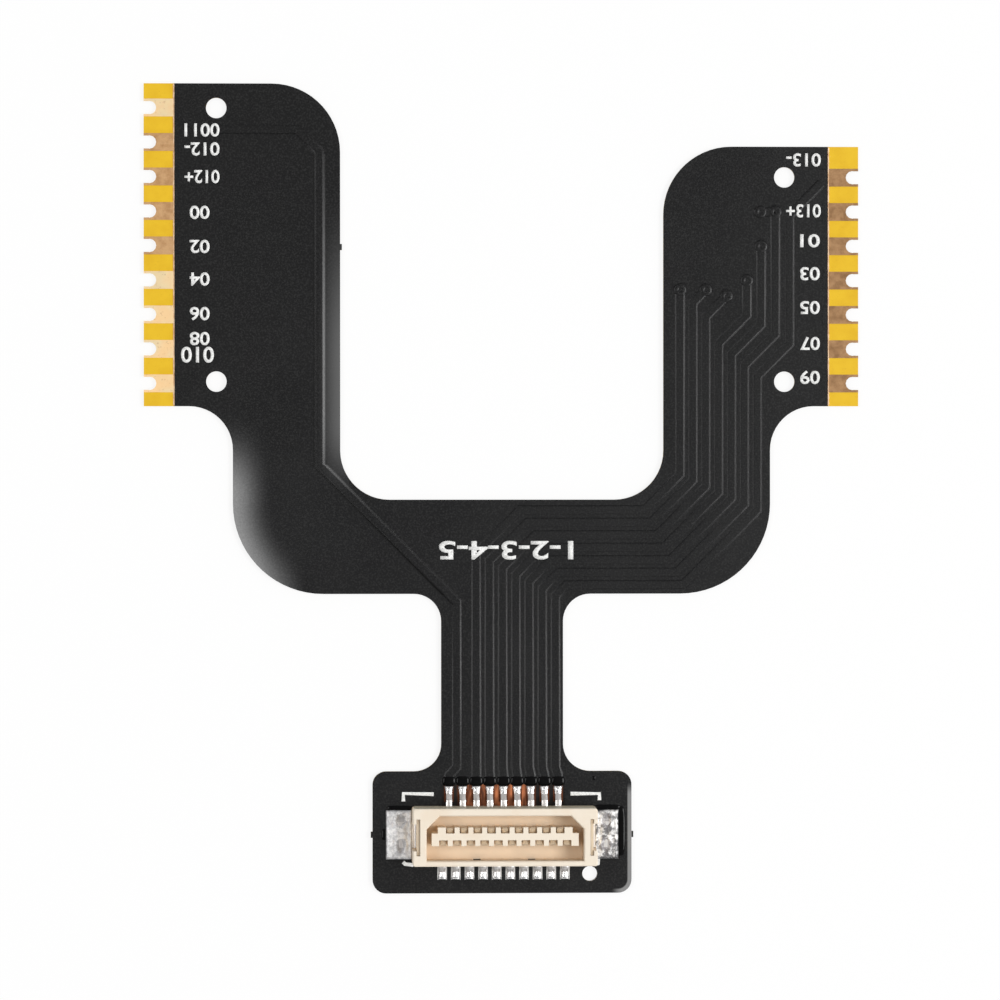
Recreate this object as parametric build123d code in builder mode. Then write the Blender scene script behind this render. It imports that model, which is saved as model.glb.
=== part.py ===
# Flexible printed circuit that joins the taps of a ten-cell battery pack to its monitoring
# board: two arms with slotted edge pads, a cross band, a stem, and a head with a 19-way
# staggered connector. Sizes are in millimetres. The film lies flat with the connector up.
# The stem runs along Y, the origin is below the centre of the outline, on the resting face.
import os
from math import atan, degrees

from build123d import *

os.makedirs("parts", exist_ok=True)

# Outline of the film
overall_width = 52.4
gap_width = 23.7
leg_width = 7.85
stem_width = 8.94
head_width = 19.0
head_length = 8.95
stem_length = 13.0
band_length = 6.9
leg_length = 6.85
left_arm_length = 23.6
right_arm_length = 19.05
arm_corner_radius = 5.0
gap_radius = 3.6
under_arm_radius = 3.2
band_corner_radius = 6.6
stem_radius = 2.0
head_corner_radius = 1.0
stub_length = 0.45
stub_proud = 0.13
arm_stub_rise = 11.65

# Layers, bottom to top
stiffener_thickness = 0.2
stiffener_setback = 0.2
adhesive_thickness = 0.05
coverlay_thickness = 0.06
film_thickness = 0.1
copper_thickness = 0.035
ridge_height = 0.03
ridge_growth = 0.05

# Edge pads and their slots
left_pad_count = 9
right_pad_count = 7
pad_width = 1.3
lowest_pad_rise = 1.67
left_top_margin = 1.77
right_top_margin = 2.26
bare_length = 2.25
left_pad_length = 3.55
right_pad_length = 2.6
slot_width = 0.95
slot_depth = 0.9
slot_sides = 12
plating = 0.05

# Locating holes
hole_diameter = 1.5
hole_rise = 1.8
left_hole_inset = 5.3
right_hole_inset = 5.45
left_hole_drop = 1.8
right_hole_drop = 2.25
head_hole_diameter = 1.1
head_hole_x = 6.43
head_hole_rise = 1.42

# Tracks and vias
track_width = 0.45
lower_track_width = 0.3
track_gap = 0.3
via_pad_width = 0.7
via_barrel_width = 0.35
via_sides = 6
arm_track_inset = 1.23
arm_track_pitch = 0.948
band_track_inset = 0.75
band_track_pitch = 0.916
stem_track_pitch = 0.97
arm_cut = 2.6
arm_cut_step = 0.477
stem_cut = 3.2
stem_cut_step = 0.4
short_via_insets = (1.23, 3.13, 4.65)
short_via_rises = (8.55, 8.55, 8.1)
long_via_inset = 6.15
long_via_pitch = 1.05
fan_rise = 4.6
fan_step = 0.8
jog_length = 0.6
spare_via_offset = 1.1
long_track_drop = 1.58
long_track_inset = 1.53
long_track_cut = 1.6
long_track_stem_offset = 0.57
long_track_elbow = 0.6
lower_track_inset = 1.1
lower_track_pitch = 0.85
lower_band_pitch = 0.786
lower_stem_offset = 0.3

# Connector
connector_x = 0.1
connector_rise = 4.31
housing_length = 13.45
housing_depth = 4.2
housing_height = 3.5
housing_corner_radius = 0.2
front_wall = 0.54
rear_wall = 0.38
end_wall = 1.0
housing_floor = 0.9
cavity_chamfer = 0.95
rim_chamfer = 0.08
tongue_setback = 0.3
tongue_front_gap = 0.83
wide_bar_length = 10.7
wide_bar_thickness = 0.92
narrow_bar_length = 9.8
narrow_bar_thickness = 0.44
window_width = 0.63
rear_window_depth = 0.42
latch_slit_width = 0.53
latch_slit_depth = 0.15
latch_slit_height = 0.35
latch_slit_spacing = 4.0

# Contacts, their lands and their solder
front_count = 9
rear_count = 10
contact_pitch = 1.0
contact_width = 0.44
contact_thickness = 0.15
contact_run_height = 0.45
contact_tip_drop = 0.3
front_toe = 1.38
front_heel = 0.85
front_knee = 0.45
rear_toe = 1.12
rear_heel = 0.6
rear_knee = 0.3
land_width = 0.7
land_margin = 0.1
land_inner_reach = 0.3
solder_height = 0.18
solder_slope = 0.1
front_window_length = 9.0
rear_window_margin = 0.03
rear_via_depth = 0.8

# Hold-downs
hold_down_reach = 8.53
hold_down_land_length = 3.6
hold_down_thickness = 0.2
hold_down_width = 1.9
hold_down_wing_width = 2.6
hold_down_toe = 1.55
hold_down_inset = 0.4
hold_down_tip_drop = 0.3
hold_down_wing_rise = 0.6
prong_gap = 0.7
prong_length = 0.95
hold_down_clearance = 0.03
hold_down_solder_height = 0.1

# Heights of the layers
z_adhesive = stiffener_thickness
z_lower_coverlay = z_adhesive + adhesive_thickness
z_film = z_lower_coverlay + coverlay_thickness
z_lower_copper = z_film - copper_thickness
z_film_middle = z_film + film_thickness / 2
z_film_top = z_film + film_thickness
z_land = z_film_top + copper_thickness
z_top = z_film_top + coverlay_thickness

# Places along Y, from the outline's centre
total_length = head_length + stem_length + band_length + leg_length + left_arm_length
y_bottom = -total_length / 2
y_head = y_bottom + head_length
y_band = y_head + stem_length
y_gap = y_band + band_length
y_arm = y_gap + leg_length
y_left_top = y_arm + left_arm_length
y_right_top = y_arm + right_arm_length

# Places along X
edge_x = overall_width / 2
gap_x = gap_width / 2
leg_x = gap_x + leg_width
stem_x = stem_width / 2
head_x = head_width / 2

# Connector places
connector_y = y_bottom + connector_rise
front_face_y = connector_y + housing_depth / 2
rear_face_y = connector_y - housing_depth / 2
narrow_bar_y = front_face_y - front_wall - tongue_front_gap
wide_bar_y = narrow_bar_y - narrow_bar_thickness
tongue_rear_y = wide_bar_y - wide_bar_thickness
rear_seat_y = tongue_rear_y + rear_window_depth
z_housing_top = z_top + housing_height
z_floor = z_top + housing_floor
z_tongue = z_housing_top - tongue_setback
front_window_y = front_face_y + front_toe + 2 * land_margin


def front_pin_x(k):
    return connector_x + (k - (front_count - 1) / 2) * contact_pitch


def rear_pin_x(k):
    return connector_x + (k - (rear_count - 1) / 2) * contact_pitch


left_pad_pitch = (left_arm_length - lowest_pad_rise - left_top_margin) / (left_pad_count - 1)
right_pad_pitch = (right_arm_length - lowest_pad_rise - right_top_margin) / (right_pad_count - 1)


def left_pad_y(n):
    """Height of left pad n, counted from 1 at the far end."""
    return y_arm + lowest_pad_rise + (left_pad_count - n) * left_pad_pitch


def right_pad_y(n):
    return y_arm + lowest_pad_rise + (right_pad_count - n) * right_pad_pitch


left_pad_end = -edge_x + left_pad_length
right_pad_end = edge_x - right_pad_length
left_hole_x = -edge_x + left_hole_inset
right_hole_x = edge_x - right_hole_inset
low_hole_y = y_arm + hole_rise


# Outline with its holes, drawn once and used by every layer
with BuildSketch() as outline:
    with BuildLine():
        Polyline(
            (-head_x, y_bottom), (-head_x, y_head), (-stem_x, y_head), (-stem_x, y_band),
            (-leg_x, y_band), (-leg_x, y_arm), (-edge_x, y_arm), (-edge_x, y_left_top),
            (-gap_x, y_left_top), (-gap_x, y_gap), (gap_x, y_gap), (gap_x, y_right_top),
            (edge_x, y_right_top), (edge_x, y_arm), (leg_x, y_arm), (leg_x, y_band),
            (stem_x, y_band), (stem_x, y_head), (head_x, y_head), (head_x, y_bottom),
            close=True,
        )
    make_face()

    def corners(*places):
        """The outline's vertices at these places."""
        return [outline.vertices().sort_by_distance((x, y, 0))[0] for x, y in places]

    fillet(corners((-gap_x, y_left_top), (gap_x, y_right_top)), arm_corner_radius)
    fillet(corners((-gap_x, y_gap), (gap_x, y_gap)), gap_radius)
    fillet(corners((-leg_x, y_arm), (leg_x, y_arm)), under_arm_radius)
    fillet(corners((-leg_x, y_band), (leg_x, y_band)), band_corner_radius)
    fillet(corners((-stem_x, y_band), (stem_x, y_band)), stem_radius)
    fillet(corners((-stem_x, y_head), (stem_x, y_head)), stem_radius)
    fillet(
        corners((-head_x, y_head), (head_x, y_head), (-head_x, y_bottom), (head_x, y_bottom)),
        head_corner_radius,
    )
    with Locations(
        (-head_x, connector_y), (head_x, connector_y), (-gap_x, y_arm + arm_stub_rise)
    ):
        Rectangle(2 * stub_proud, stub_length)
    with Locations(
        (left_hole_x, low_hole_y), (left_hole_x, y_left_top - left_hole_drop),
        (right_hole_x, low_hole_y), (right_hole_x, y_right_top - right_hole_drop),
    ):
        Circle(hole_diameter / 2, mode=Mode.SUBTRACT)
    with Locations((head_hole_x, y_bottom + head_hole_rise)):
        Circle(head_hole_diameter / 2, mode=Mode.SUBTRACT)


def save(piece, name):
    piece.part.label = name
    export_step(piece.part, f"parts/{name}.step")


def cut_route(points, cuts):
    """Centreline through these points, with each corner cut off by the length given for it."""
    route = [Vector(*points[0])]
    for before, corner, after, cut in zip(points, points[1:], points[2:], cuts):
        place = Vector(*corner)
        if cut:
            route.append(place + (Vector(*before) - place).normalized() * cut)
            route.append(place + (Vector(*after) - place).normalized() * cut)
        else:
            route.append(place)
    route.append(Vector(*points[-1]))
    return route


def via_disc(places, width, mode=Mode.ADD):
    """Via shape of this width; it has few sides because it repeats on every net and layer."""
    if places:
        with Locations(*places):
            RegularPolygon(width / 2, via_sides, major_radius=False, mode=mode)


def track(route, width):
    with BuildLine() as centreline:
        Polyline(*route)
    trace(centreline.line, line_width=width)


class Net:
    """One copper conductor: its edge pad, its routes on both faces, its vias and its land."""

    def __init__(self, side, pad_y, pad_length, top=(), lower=(), vias=(), land=None):
        self.side = side
        self.pad_y = pad_y
        self.pad_length = pad_length
        self.top = top
        self.lower = lower
        self.vias = vias
        self.land = land

    def pad(self, growth=0):
        """Edge pad, grown on the sides that the coverlay drapes over."""
        length = self.pad_length + growth
        with Locations((self.side * (edge_x - length / 2), self.pad_y)):
            Rectangle(length, pad_width + 2 * growth)

    def slot(self, wall=0, mode=Mode.SUBTRACT):
        """Slot open at the film's edge; its round end is a few flats, as it repeats on each pad."""
        radius = slot_width / 2 + wall
        straight = slot_depth + wall - radius
        with BuildSketch() as mouth:
            Rectangle(2 * straight, 2 * radius)
            with Locations((-self.side * straight, 0)):
                RegularPolygon(radius, slot_sides, major_radius=False)
        with Locations((self.side * edge_x, self.pad_y)):
            add(mouth.sketch, mode=mode)

    def routes(self, layer, growth=0):
        width = track_width if layer is self.top else lower_track_width
        for route in layer:
            track(route, width + 2 * growth)
        via_disc(self.vias, via_pad_width + 2 * growth)

    def copper(self):
        with BuildPart() as conductor:
            with BuildSketch(Plane.XY.offset(z_film_top)):
                self.pad()
                self.slot()
                self.routes(self.top)
                if self.land:
                    with Locations(self.land[:2]):
                        Rectangle(land_width, self.land[2])
            extrude(amount=copper_thickness)
            with BuildSketch(Plane.XY.offset(z_lower_copper)):
                self.pad()
                self.slot()
                if self.lower:
                    self.routes(self.lower)
            extrude(amount=copper_thickness)
            with BuildSketch(Plane.XY.offset(z_film)):
                self.pad()
                self.slot(plating, Mode.INTERSECT)
                self.slot()
                via_disc(self.vias, via_barrel_width)
            extrude(amount=film_thickness)
            if self.vias:
                with BuildSketch(Plane.XY.offset(z_lower_copper)):
                    via_disc(self.vias, via_barrel_width - 2 * plating)
                extrude(amount=z_land - z_lower_copper, mode=Mode.SUBTRACT)
        return conductor

    def ridges(self, layer):
        """Where the coverlay rises over this net: over the covered pad end and the routes."""
        self.pad(ridge_growth)
        if layer:
            self.routes(layer, ridge_growth)


front_land_length = front_toe - land_inner_reach + land_margin
front_land_y = front_face_y + land_inner_reach + front_land_length / 2
rear_land_length = rear_toe - land_inner_reach / 2 + land_margin
rear_land_y = rear_face_y - land_inner_reach / 2 - rear_land_length / 2
rear_via_y = rear_face_y + rear_via_depth
jog_y = y_head + land_inner_reach
bypass = hole_diameter / 2 + track_gap + lower_track_width / 2
band_y0 = y_gap - band_track_inset


def right_top_route(i, end):
    """Upper track i of the right arm, counted from the gap, from its far end to its contact."""
    arm_x = gap_x + arm_track_inset + i * arm_track_pitch
    band_y = band_y0 - i * band_track_pitch
    down_x = front_pin_x(2) + i * stem_track_pitch
    pin_x = front_pin_x(2 + i)
    points = [
        *end, (arm_x, band_y), (down_x, band_y), (down_x, jog_y),
        (pin_x, jog_y - jog_length), (pin_x, front_land_y),
    ]
    cuts = [0] * (len(end) - 1) + [arm_cut + i * arm_cut_step, stem_cut - i * stem_cut_step]
    return cut_route(points, cuts + [0, 0])


def right_net(n):
    """Net of right pad n: it rides on the upper face, and ends in a via short of all pads but 1."""
    i = right_pad_count - n
    arm_x = gap_x + arm_track_inset + i * arm_track_pitch
    pad_y = right_pad_y(n)
    if i < len(short_via_insets):
        via = (gap_x + short_via_insets[i], y_arm + short_via_rises[i])
        end = [via, (arm_x, via[1] - (via[0] - arm_x))] if i else [via]
    else:
        step = i - len(short_via_insets)
        up_x = gap_x + long_via_inset + step * long_via_pitch
        fan_y = y_arm + fan_rise - step * fan_step
        via = (up_x, pad_y)
        end = [via, (up_x, fan_y + up_x - arm_x), (arm_x, fan_y)]
    land = (front_pin_x(2 + i), front_land_y, front_land_length)
    if n == 1:
        end[0] = (right_pad_end + lower_track_width, pad_y)
        end.insert(1, (up_x, pad_y - (end[0][0] - up_x)))
        return Net(1, pad_y, right_pad_length, top=[right_top_route(i, end)], land=land)
    goal = (right_pad_end + lower_track_width, pad_y)
    vias = [via]
    top = [right_top_route(i, end)]
    if n in (2, 3, 4):
        lower = [via, goal]
    elif n == 5:
        lower = [via, (via[0] + via[1] - pad_y, pad_y), goal]
    elif n == 6:
        lower = [via, (via[0], pad_y), goal]
    else:
        over_y = low_hole_y + bypass
        down_x = right_pad_end - (over_y - pad_y)
        lower = [via, (via[0], over_y), (down_x, over_y), (right_pad_end, pad_y), goal]
    if n == 2:
        spare_via = (via[0] - spare_via_offset, via[1])
        vias.append(spare_via)
        top.append([spare_via, via])
    return Net(1, pad_y, right_pad_length, top, [lower], vias, land)


def left_net(n):
    """Net of left pad n: pad 1 rides on the upper face, the others run below to the rear row.

    The lower tracks are hidden, so only their corner beside the outline's round one is cut.
    """
    pad_y = left_pad_y(n)
    if n == 1:
        run_y = pad_y - long_track_drop
        down_x = -gap_x - long_track_inset
        stem_down_x = front_pin_x(0) + long_track_stem_offset
        elbow_y = y_band - long_track_elbow
        points = [
            (left_pad_end - track_width, pad_y - pad_width / 4),
            (left_pad_end + track_width, run_y), (down_x, run_y),
            (down_x, elbow_y + stem_down_x - down_x), (stem_down_x, elbow_y),
            (stem_down_x, jog_y), (front_pin_x(0), jog_y - jog_length),
            (front_pin_x(0), front_land_y),
        ]
        route = cut_route(points, [0, long_track_cut, 0, 0, 0, 0])
        land = (front_pin_x(0), front_land_y, front_land_length)
        return Net(-1, pad_y, left_pad_length, top=[route], land=land)
    i = n - 2
    arm_x = -gap_x - lower_track_inset - i * lower_track_pitch
    band_y = band_y0 - i * lower_band_pitch
    pin_x = rear_pin_x(rear_count - 3 - i)
    down_x = rear_pin_x(rear_count - 3) + lower_stem_offset - i * stem_track_pitch
    start = (left_pad_end - lower_track_width, pad_y)
    via = (pin_x, rear_via_y)
    points = [start, (arm_x, pad_y)]
    if n == left_pad_count:
        under_y = low_hole_y - bypass
        points = [start, (left_pad_end, pad_y), (left_pad_end + pad_y - under_y, under_y),
                  (arm_x, under_y)]
    cuts = [0] * (len(points) - 1) + [arm_cut + i * arm_cut_step, 0, 0, 0]
    points += [(arm_x, band_y), (down_x, band_y), (down_x, jog_y), (pin_x, jog_y - jog_length), via]
    land = (pin_x, rear_land_y, rear_land_length)
    stub = [via, (pin_x, rear_land_y)]
    return Net(-1, pad_y, left_pad_length, [stub], [cut_route(points, cuts)], [via], land)


left_nets = [left_net(n + 1) for n in range(left_pad_count)]
right_nets = [right_net(n + 1) for n in range(right_pad_count)]
nets = left_nets + right_nets
all_vias = [via for net in nets for via in net.vias]
conductors = [net.copper() for net in nets]
for n in range(left_pad_count):
    save(conductors[n], f"conductor_left_{n + 1}")
for n in range(right_pad_count):
    save(conductors[left_pad_count + n], f"conductor_right_{n + 1}")

# Lands that no net reaches
with BuildPart() as spare_lands:
    with BuildSketch(Plane.XY.offset(z_film_top)):
        with Locations((front_pin_x(1), front_land_y)):
            Rectangle(land_width, front_land_length)
        for k in (rear_count - 2, rear_count - 1):
            with Locations((rear_pin_x(k), rear_land_y)):
                Rectangle(land_width, rear_land_length)
    extrude(amount=copper_thickness)
save(spare_lands, "spare_lands")

housing_end = housing_length / 2
hold_down_land_inner = housing_end - 2 * hold_down_inset
hold_down_land_width = hold_down_reach - hold_down_land_inner
hold_down_land_x = (hold_down_reach + hold_down_land_inner) / 2
hold_down_places = [
    (connector_x + side * hold_down_land_x, connector_y) for side in (-1, 1)
]
with BuildPart() as hold_down_lands:
    with BuildSketch(Plane.XY.offset(z_film_top)):
        with Locations(*hold_down_places):
            Rectangle(
                hold_down_land_width + 2 * land_margin, hold_down_land_length + 2 * land_margin
            )
    extrude(amount=copper_thickness)
save(hold_down_lands, "hold_down_lands")

# Base film, with the wider slots that the plating lines
with BuildPart() as base_film:
    with BuildSketch(Plane.XY.offset(z_film)):
        add(outline.sketch)
        for net in nets:
            net.slot(plating)
        via_disc(all_vias, via_barrel_width, Mode.SUBTRACT)
    extrude(amount=film_thickness)
save(base_film, "base_film")


def bare_ends():
    """Arm ends where no coverlay lies."""
    with Locations((-edge_x + bare_length / 2, 0), (edge_x - bare_length / 2, 0)):
        Rectangle(bare_length, total_length)


# Upper coverlay: windows over the lands, and a ridge over each upper track. Its adhesive fills
# the vias down to the middle of the film, where it meets the lower coverlay's.
with BuildPart() as top_coverlay:
    with BuildSketch(Plane.XY.offset(z_top)):
        for net in nets:
            net.ridges(net.top if net.land[1] == front_land_y else ())
    extrude(amount=ridge_height)
    with BuildSketch(Plane.XY.offset(z_film_top)):
        add(outline.sketch)
    extrude(amount=coverlay_thickness)
    with BuildSketch(Plane.XY.offset(z_film_middle)):
        via_disc(all_vias, via_barrel_width - 2 * plating)
    extrude(amount=z_film_top - z_film_middle)
    with BuildSketch(Plane.XY.offset(z_film_top)):
        bare_ends()
        window_length = front_window_y - front_face_y + land_inner_reach
        with Locations((connector_x, front_window_y - window_length / 2)):
            Rectangle(front_window_length, window_length)
        for k in range(rear_count):
            with Locations((rear_pin_x(k), rear_land_y)):
                Rectangle(
                    land_width + 2 * rear_window_margin, rear_land_length + 2 * rear_window_margin
                )
        with Locations(*hold_down_places):
            Rectangle(hold_down_land_width, hold_down_land_length)
    extrude(amount=2 * coverlay_thickness, mode=Mode.SUBTRACT)
    add([conductor.part for conductor in conductors], mode=Mode.SUBTRACT)
    add(hold_down_lands.part, mode=Mode.SUBTRACT)
save(top_coverlay, "top_coverlay")

# Lower coverlay, without the slight relief of the tracks
with BuildPart() as bottom_coverlay:
    with BuildSketch(Plane.XY.offset(z_lower_coverlay)):
        add(outline.sketch)
    extrude(amount=coverlay_thickness)
    with BuildSketch(Plane.XY.offset(z_film)):
        via_disc(all_vias, via_barrel_width - 2 * plating)
    extrude(amount=z_film_middle - z_film)
    with BuildSketch(Plane.XY.offset(z_film)):
        bare_ends()
    extrude(amount=-2 * coverlay_thickness, mode=Mode.SUBTRACT)
    add([conductor.part for conductor in conductors], mode=Mode.SUBTRACT)
save(bottom_coverlay, "bottom_coverlay")


def head_plate(z, thickness):
    """A layer that backs the head only."""
    with BuildPart() as plate:
        with BuildSketch(Plane.XY.offset(z)):
            add(outline.sketch)
            with Locations((0, y_head - stiffener_setback)):
                Rectangle(
                    head_width, head_length, align=(Align.CENTER, Align.MAX),
                    mode=Mode.INTERSECT,
                )
        extrude(amount=thickness)
    return plate


save(head_plate(0, stiffener_thickness), "connector_stiffener")
save(head_plate(z_adhesive, adhesive_thickness), "stiffener_adhesive")


def contact(x, facing, face_y, toe, heel, knee, seat_y):
    """Gull-wing contact: foot on its land, run through the floor, spring up the tongue.

    Its bends are plain corners, because they repeat on every contact.
    """
    foot_z = z_land + contact_thickness / 2
    run_z = z_top + contact_run_height
    with BuildPart() as strip:
        with BuildSketch(Plane.YZ.offset(x - contact_width / 2)):
            points = [
                (face_y + facing * toe, foot_z),
                (face_y + facing * heel, foot_z),
                (face_y + facing * knee, run_z),
                (seat_y, run_z),
                (seat_y, z_tongue - contact_tip_drop),
            ]
            with BuildLine() as path:
                Polyline(*points)
            trace(path.line, line_width=contact_thickness)
        extrude(amount=contact_width)
    return strip


front_seat_y = wide_bar_y + contact_thickness / 2
rear_contact_y = rear_seat_y - contact_thickness / 2
front_contacts = [
    contact(front_pin_x(k), 1, front_face_y, front_toe, front_heel, front_knee, front_seat_y)
    for k in range(front_count)
]
rear_contacts = [
    contact(rear_pin_x(k), -1, rear_face_y, rear_toe, rear_heel, rear_knee, rear_contact_y)
    for k in range(rear_count)
]
for k in range(front_count):
    save(front_contacts[k], f"front_contact_{k + 1}")
for k in range(rear_count):
    save(rear_contacts[k], f"rear_contact_{k + 1}")


def hold_down(side):
    """Anchor tab: its winged leg stands in the housing's end, its two prongs on the land."""
    end_x = connector_x + side * housing_end
    leg_x_place = end_x - side * hold_down_inset
    foot_z = z_land + hold_down_thickness / 2
    tip_z = z_housing_top - hold_down_tip_drop
    toe_x = end_x + side * hold_down_toe
    with BuildPart() as tab:
        with BuildSketch(Plane.XZ.offset(-connector_y - hold_down_width / 2)):
            with BuildLine() as path:
                FilletPolyline(
                    (leg_x_place, tip_z), (leg_x_place, foot_z), (toe_x, foot_z),
                    radius=hold_down_thickness,
                )
            trace(path.line, line_width=hold_down_thickness)
        extrude(amount=hold_down_width)
        with BuildSketch(Plane.XY.offset(z_top + hold_down_wing_rise)):
            with Locations((leg_x_place, connector_y)):
                Rectangle(hold_down_thickness, hold_down_wing_width)
        extrude(amount=tip_z - z_top - hold_down_wing_rise)
        with BuildSketch(Plane.XY.offset(z_land)):
            with Locations((toe_x - side * prong_length / 2, connector_y)):
                Rectangle(prong_length, prong_gap)
        extrude(amount=hold_down_thickness, mode=Mode.SUBTRACT)
    return tab


hold_downs = {"left": hold_down(-1), "right": hold_down(1)}
for name, tab in hold_downs.items():
    save(tab, f"hold_down_{name}")

# Housing: open box with a tongue, its contacts pressed through the floor
with BuildPart() as connector_housing:
    with BuildSketch(Plane.XY.offset(z_top)):
        with Locations((connector_x, connector_y)):
            RectangleRounded(housing_length, housing_depth, housing_corner_radius)
    extrude(amount=housing_height)
    cavity_length = housing_length - 2 * end_wall
    cavity_depth = housing_depth - front_wall - rear_wall
    cavity_y = connector_y + (rear_wall - front_wall) / 2
    with BuildSketch(Plane.XY.offset(z_floor)) as cavity:
        with Locations((connector_x, cavity_y)):
            Rectangle(cavity_length, cavity_depth)
        chamfer(cavity.vertices().group_by(Axis.Y)[-1], cavity_chamfer)
    extrude(amount=housing_height, mode=Mode.SUBTRACT)
    chamfer(connector_housing.faces().sort_by(Axis.Z)[-1].edges(), rim_chamfer)
    with BuildSketch(Plane.XY.offset(z_floor)):
        with Locations((connector_x, wide_bar_y - wide_bar_thickness / 2)):
            Rectangle(wide_bar_length, wide_bar_thickness)
        with Locations((connector_x, wide_bar_y + narrow_bar_thickness / 2)):
            Rectangle(narrow_bar_length, narrow_bar_thickness)
        for k in range(front_count):
            with Locations((front_pin_x(k), wide_bar_y + narrow_bar_thickness / 2)):
                Rectangle(window_width, narrow_bar_thickness, mode=Mode.SUBTRACT)
        for k in range(rear_count):
            with Locations((rear_pin_x(k), tongue_rear_y + rear_window_depth / 2)):
                Rectangle(window_width, rear_window_depth, mode=Mode.SUBTRACT)
    extrude(amount=z_tongue - z_floor)
    with BuildSketch(Plane.XY.offset(z_floor)):
        slit_y = rear_face_y + rear_wall - latch_slit_depth / 2
        with Locations((connector_x, slit_y)):
            with GridLocations(latch_slit_spacing, 0, 2, 1):
                Rectangle(latch_slit_width, latch_slit_depth)
    extrude(amount=latch_slit_height, mode=Mode.SUBTRACT)
    for side in (-1, 1):
        end_x = connector_x + side * housing_end
        leg_slot = hold_down_thickness + 2 * hold_down_clearance
        mouth_depth = hold_down_inset + leg_slot / 2
        with BuildSketch(Plane.XY.offset(z_top)):
            with Locations((end_x - side * mouth_depth / 2, connector_y)):
                Rectangle(mouth_depth, hold_down_width + 2 * hold_down_clearance)
        extrude(amount=housing_height, mode=Mode.SUBTRACT)
        with BuildSketch(Plane.XY.offset(z_top + hold_down_wing_rise)):
            with Locations((end_x - side * hold_down_inset, connector_y)):
                Rectangle(leg_slot, hold_down_wing_width + 2 * hold_down_clearance)
        extrude(amount=housing_height, mode=Mode.SUBTRACT)
    add([strip.part for strip in front_contacts + rear_contacts], mode=Mode.SUBTRACT)
save(connector_housing, "connector_housing")


def solder_joints(places, length, contacts):
    """Tapered joints that rise from the lands and wet the toe of each contact."""
    with BuildPart() as joints:
        with BuildSketch(Plane.XY.offset(z_land)):
            with Locations(*places):
                Rectangle(land_width, length)
        extrude(amount=solder_height, taper=degrees(atan(solder_slope / solder_height)))
        add([strip.part for strip in contacts], mode=Mode.SUBTRACT)
    return joints


front_joint_length = front_toe - front_heel + land_margin
rear_joint_length = rear_toe - rear_heel + land_margin
front_joint_y = front_face_y + front_toe + land_margin - front_joint_length / 2
rear_joint_y = rear_face_y - rear_toe - land_margin + rear_joint_length / 2
save(
    solder_joints(
        [(front_pin_x(k), front_joint_y) for k in range(front_count)],
        front_joint_length, front_contacts,
    ),
    "front_solder_joints",
)
save(
    solder_joints(
        [(rear_pin_x(k), rear_joint_y) for k in range(rear_count)],
        rear_joint_length, rear_contacts,
    ),
    "rear_solder_joints",
)

# Solder round the prongs of both anchor tabs
with BuildPart() as hold_down_solder:
    joint_width = hold_down_reach - housing_end
    with BuildSketch(Plane.XY.offset(z_land)):
        for side in (-1, 1):
            with Locations((connector_x + side * (housing_end + joint_width / 2), connector_y)):
                Rectangle(joint_width, hold_down_land_length)
    extrude(amount=hold_down_solder_height, taper=degrees(atan(1)))
    with BuildSketch(Plane.XY.offset(z_land)):
        for side in (-1, 1):
            toe_x = housing_end + hold_down_toe
            with Locations((connector_x + side * (toe_x - hold_down_toe / 2), connector_y)):
                Rectangle(hold_down_toe, hold_down_width)
            with Locations((connector_x + side * (toe_x - prong_length / 2), connector_y)):
                Rectangle(prong_length, prong_gap, mode=Mode.SUBTRACT)
    extrude(amount=hold_down_solder_height, mode=Mode.SUBTRACT)
save(hold_down_solder, "hold_down_solder")
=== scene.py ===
import math

import bpy
import bmesh
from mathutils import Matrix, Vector


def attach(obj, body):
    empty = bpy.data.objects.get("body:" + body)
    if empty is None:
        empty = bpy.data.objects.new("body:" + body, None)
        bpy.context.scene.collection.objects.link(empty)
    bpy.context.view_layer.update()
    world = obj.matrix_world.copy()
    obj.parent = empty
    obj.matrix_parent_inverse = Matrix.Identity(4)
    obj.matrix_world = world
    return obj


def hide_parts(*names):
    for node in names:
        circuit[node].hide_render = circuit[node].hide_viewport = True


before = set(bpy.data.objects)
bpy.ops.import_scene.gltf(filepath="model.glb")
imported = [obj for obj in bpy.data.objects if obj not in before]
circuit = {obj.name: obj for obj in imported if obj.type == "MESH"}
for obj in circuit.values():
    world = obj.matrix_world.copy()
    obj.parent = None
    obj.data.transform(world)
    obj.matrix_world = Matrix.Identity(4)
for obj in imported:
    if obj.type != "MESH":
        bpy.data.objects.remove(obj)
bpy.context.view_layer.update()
mm = 0.001


# Base film. The circuit is built up on an amber polyimide film that shows bare along the outer
# edge of both arms, between the pads. It is die cut from a sheet, so its face is smooth and
# glossy.
class Wire:
    """A node's output that Python's operators extend with Math nodes."""

    def __init__(self, bench, socket):
        self.bench = bench
        self.socket = socket

    def __add__(self, other):
        return self.bench.maths("ADD", self, other)

    def __radd__(self, other):
        return self.bench.maths("ADD", other, self)

    def __sub__(self, other):
        return self.bench.maths("SUBTRACT", self, other)

    def __rsub__(self, other):
        return self.bench.maths("SUBTRACT", other, self)

    def __mul__(self, other):
        return self.bench.maths("MULTIPLY", self, other)

    def __rmul__(self, other):
        return self.bench.maths("MULTIPLY", other, self)

    def __truediv__(self, other):
        return self.bench.maths("DIVIDE", self, other)

    def __abs__(self):
        return self.bench.maths("ABSOLUTE", self)

    def __lt__(self, other):
        return self.bench.maths("LESS_THAN", self, other)

    def __gt__(self, other):
        return self.bench.maths("GREATER_THAN", self, other)

    def smooth(self, low, high):
        """0 below low, 1 above high, and a smooth step between them."""
        return self.bench.node(
            "ShaderNodeMapRange", {0: self, 1: low, 2: high}, interpolation_type="SMOOTHSTEP"
        )


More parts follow.
